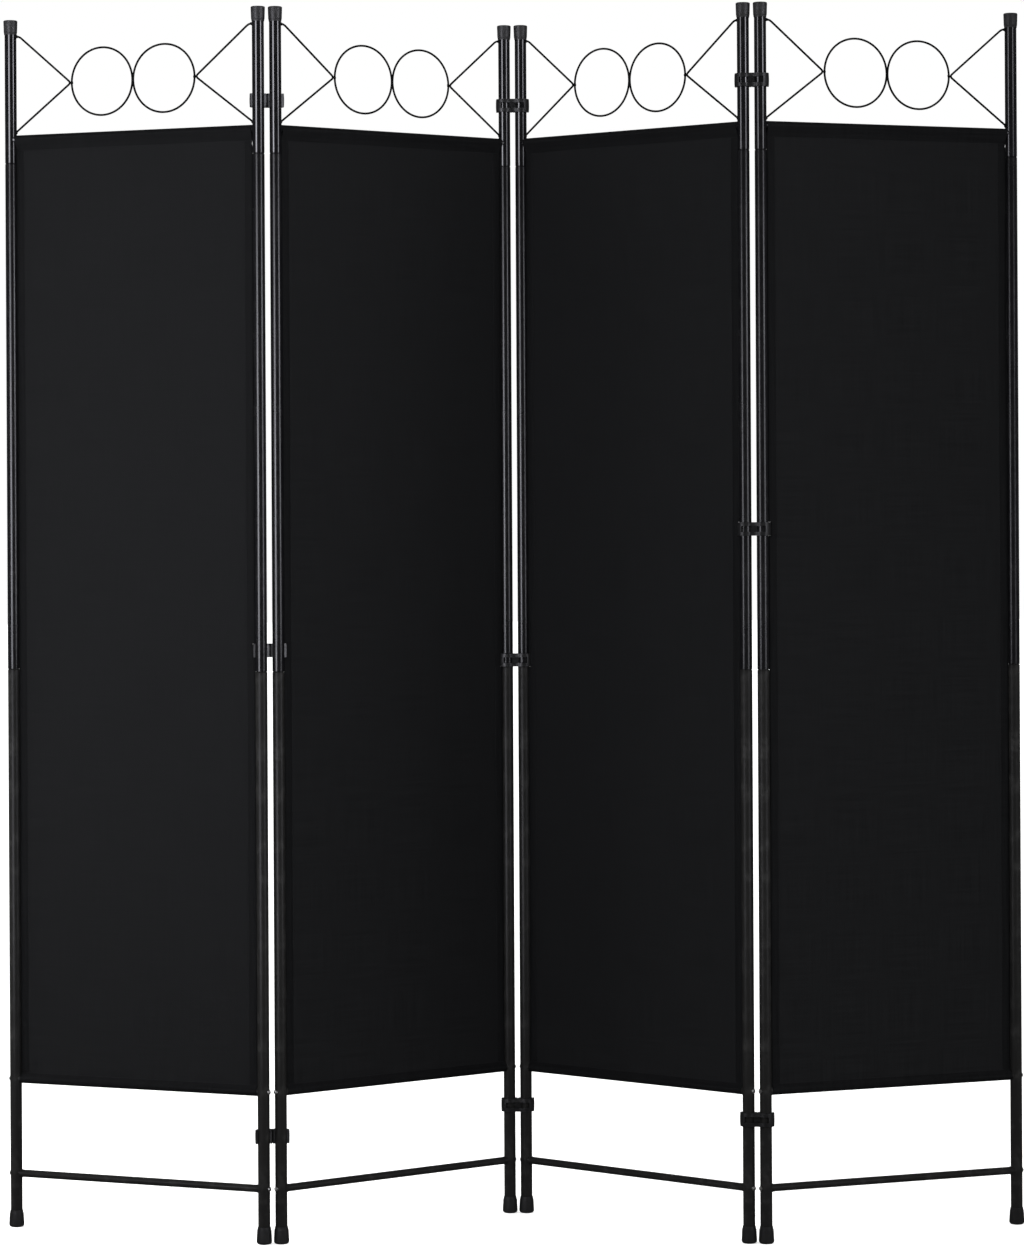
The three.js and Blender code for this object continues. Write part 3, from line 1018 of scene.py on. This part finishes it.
def carve(base, shells, operation):
    """Joins or cuts the shells into base with exact booleans, and applies them."""
    helpers = [shell.make("helper", CLIP_PLASTIC) for shell in shells]
    for helper in helpers:
        modifier = base.modifiers.new("shape", "BOOLEAN")
        modifier.operation = operation
        modifier.solver = "EXACT"
        modifier.object = helper
    apply_modifiers(base)
    for helper in helpers:
        bpy.data.objects.remove(helper)


def apply_modifiers(piece):
    bpy.context.view_layer.update()
    evaluated = piece.evaluated_get(bpy.context.evaluated_depsgraph_get())
    result = bpy.data.meshes.new_from_object(evaluated)
    piece.modifiers.clear()
    piece.data = result


def clip_mesh():
    """A double clip about its middle, mouths to the front: two loops with windows and a web."""
    sharp = math.radians(40)
    half = (pole_axis(2, "left") - pole_axis(1, "right")).length / 2
    top = CLIP_HEIGHT / 2
    slot = top - CLIP_RIM
    web_near, web_far = CLIP_WEB
    far = 2 * CLIP_OUTER
    base = barrel(-half, CLIP_OUTER, top, CLIP_BULGE).make("clip", CLIP_PLASTIC)
    carve(base, [
        barrel(half, CLIP_OUTER, top, CLIP_BULGE),
        block((-half, web_near, -top), (half, web_far, top)),
    ], "UNION")
    cuts = [block((-half, web_far - CLIP_RECESS, -slot), (half, far, slot))]
    for x in (-half, half):
        cuts.append(barrel(x, CLIP_BORE, far))
        cuts.append(wedge(x))
        cuts.append(block((x - CLIP_WINDOW / 2, 0, -slot), (x + CLIP_WINDOW / 2, far, slot)))
    carve(base, cuts, "DIFFERENCE")
    bevel = base.modifiers.new("edges", "BEVEL")
    bevel.width = CLIP_EDGE
    bevel.segments = 3
    bevel.limit_method = "ANGLE"
    bevel.angle_limit = sharp
    apply_modifiers(base)
    mesh = base.data
    bpy.data.objects.remove(base)
    mesh.shade_smooth()
    mesh.set_sharp_from_angle(angle=sharp)
    return mesh


def make_clips():
    mesh = clip_mesh()
    for link, (before, after) in LINKS.items():
        left = pole_axis(before, "right")
        right = pole_axis(after, "left")
        turn = Matrix.Rotation(0 if OPEN_TO_FRONT[link] else math.pi, 4, "Z")
        middle = Matrix.Translation(((right - left).length / 2, 0, 0))
        for level in LEVELS:
            node = f"clip_{link}_{level}"
            piece = bpy.data.objects.new(f"{node}_skin", mesh.copy())
            bpy.context.scene.collection.objects.link(piece)
            height = Matrix.Translation((0, 0, middle_of(node).z))
            piece.matrix_world = upright(left, right) @ middle @ height @ turn
            dress(piece, f"clips_{link}", "clip_plastic", node)


# ---- Camera, light and stage ---------------------------------------------------------------------


def make_camera():
    """Level, at a standing person's chest height, with the frame shifted down to the floor."""
    distance = 5.60
    height = 1.068
    lean = math.radians(-0.31)
    sensor = 36
    data = bpy.data.cameras.new("camera")
    data.sensor_fit = "VERTICAL"
    data.sensor_height = sensor
    data.sensor_width = sensor
    data.lens = 109.0
    data.shift_y = -0.0925
    data.clip_end = 100
    camera = bpy.data.objects.new("camera", data)
    bpy.context.scene.collection.objects.link(camera)
    level = Matrix.Rotation(math.pi / 2, 4, "X")
    roll = Matrix.Rotation(lean, 4, "Z")
    camera.matrix_world = Matrix.Translation((0, -distance, height)) @ level @ roll
    bpy.context.scene.camera = camera


def softbox(name, azimuth, distance, size, height, power, turn=0):
    """An upright area light. Azimuth 0 is in front of the screen, positive to the right. It faces
    the middle of the screen, or turn degrees to the left of it."""
    data = bpy.data.lights.new(name, "AREA")
    data.shape = "RECTANGLE"
    data.size, data.size_y = size
    data.energy = power
    light = bpy.data.objects.new(name, data)
    bpy.context.scene.collection.objects.link(light)
    angle = math.radians(azimuth)
    spot = Vector((math.sin(angle) * distance, -math.cos(angle) * distance, height))
    facing = Matrix.Rotation(angle + math.radians(turn), 4, "Z")
    light.matrix_world = Matrix.Translation(spot) @ facing @ Matrix.Rotation(math.pi / 2, 4, "X")
    light.visible_camera = False
    return light


def make_lights():
    """Strips that draw the highlights down the poles, weaker to the right, and soft boxes that
    light the cloth."""
    cool_white = (0.92, 0.92, 1.0)
    beam = math.radians(70)
    turn = 13
    strips_of_light = [
        softbox("left_strip", -45, 1.84, (0.7, 2.7), 1.65, 7.6, turn),
        softbox("low_right_strip", 50, 2.2, (0.6, 1.35), 0.975, 1.9, turn),
        softbox("high_right_strip", 50, 2.2, (0.6, 1.35), 2.325, 3.7, turn),
    ]
    for light in strips_of_light:
        light.data.color = cool_white
        light.data.spread = beam
        light.visible_diffuse = False
    soft_boxes = [
        softbox("left_side_box", -86, 2.0, (1.0, 2.4), 1.05, 50),
        softbox("front_box", -8, 2.0, (0.8, 1.6), 1.25, 24),
        softbox("right_side_box", 75, 6.0, (2.0, 3.0), 1.2, 175),
    ]
    for light in soft_boxes:
        light.visible_glossy = False


def make_world():
    """A white studio: plain white seen by the camera, more light from above than from below for
    the cloth, and almost none in what the gloss mirrors."""
    from_below = 0.6
    from_above = 1.3
    horizon = 0.4
    in_gloss = 0.05
    behind = 1.0
    world = bpy.data.worlds.new("studio")
    bpy.context.scene.world = world
    world.use_nodes = True
    tree = world.node_tree
    background = tree.nodes["Background"]
    background.inputs["Color"].default_value = (1, 1, 1, 1)
    ray = tree.nodes.new("ShaderNodeLightPath")
    direction = tree.nodes.new("ShaderNodeSeparateXYZ")
    place = tree.nodes.new("ShaderNodeTexCoord")
    tree.links.new(place.outputs["Generated"], direction.inputs["Vector"])

    def choose(value, low, high):
        node = tree.nodes.new("ShaderNodeMapRange")
        tree.links.new(value, node.inputs["Value"])
        for socket, amount in ((node.inputs["To Min"], low), (node.inputs["To Max"], high)):
            if isinstance(amount, float):
                socket.default_value = amount
            else:
                tree.links.new(amount, socket)
        return node

    sky = choose(direction.outputs["Z"], from_below, from_above)
    sky.inputs["From Min"].default_value = -horizon
    sky.inputs["From Max"].default_value = horizon
    flagged = choose(ray.outputs["Is Glossy Ray"], sky.outputs["Result"], in_gloss)
    seen = choose(ray.outputs["Is Camera Ray"], flagged.outputs["Result"], behind)
    tree.links.new(seen.outputs["Result"], background.inputs["Strength"])


def make_floor():
    """A plain pale floor that lights nothing and that the poles don't mirror."""
    size = 30
    corners = [(-size, -size, 0), (size, -size, 0), (size, size, 0), (-size, size, 0)]
    shell = Shell()
    shell.add(corners, [(0, 1, 2, 3)])
    nodes = Nodes("pale_floor")
    nodes.set(
        Base_Color=(0.9, 0.9, 0.9, 1),
        Roughness=0.9,
        Emission_Color=(1, 1, 1, 1),
        Emission_Strength=0.35,
    )
    floor = shell.make("floor", nodes.material)
    floor.visible_glossy = False
    floor.visible_diffuse = False


# ---- The screen ----------------------------------------------------------------------------------


def make_panel(panel):
    place = upright(pole_axis(panel, "left"), pole_axis(panel, "right"))
    make_top_frame(panel, place)
    make_bar(panel, place, "hem_bar", HEM_BAR_Z)
    make_bar(panel, place, "crossbar", CROSSBAR_Z)
    make_screws(panel, place)
    make_fabric(panel, place)
    below_joint = SHOULDER + JOINT_GAP
    for side in ("left", "right"):
        make_tube(panel, side, "bottom", TUBE_LOW_Z, LOW_JOINT_Z - below_joint, SATIN_PAINT)
        make_tube(panel, side, "middle", LOW_JOINT_Z, HIGH_JOINT_Z - below_joint, PAINT)
        make_cap(panel, side)
        make_foot(panel, side)


make_camera()
make_lights()
make_world()
make_floor()
for number in PANELS:
    make_panel(number)
make_clips()

scene = bpy.context.scene
scene.view_settings.view_transform = "Standard"
scene.cycles.use_denoising = True
